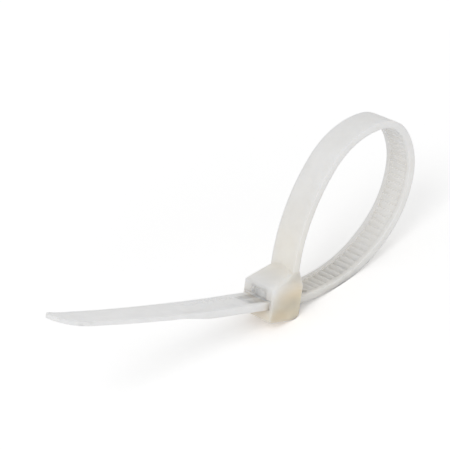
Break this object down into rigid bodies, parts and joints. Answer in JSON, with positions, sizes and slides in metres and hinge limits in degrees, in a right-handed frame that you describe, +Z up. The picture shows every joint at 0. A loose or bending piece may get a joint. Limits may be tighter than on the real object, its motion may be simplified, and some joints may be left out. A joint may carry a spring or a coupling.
{
  "type": "cable tie",
  "caption": "Natural nylon cable tie closed into a loop, with its smooth pointed tail pulled through the ratchet head.",
  "frame": {"origin": "on the floor, below the middle of the object's box", "axes": "+X from the tip of the tail towards the loop, +Y across the strap, +Z up"},
  "size_m": [0.101, 0.0098, 0.0332],
  "materials": {
    "nylon": "satin, slightly translucent natural nylon"
  },
  "bodies": {
    "root": {"cable_tie": "nylon"}
  },
  "joints": []
}
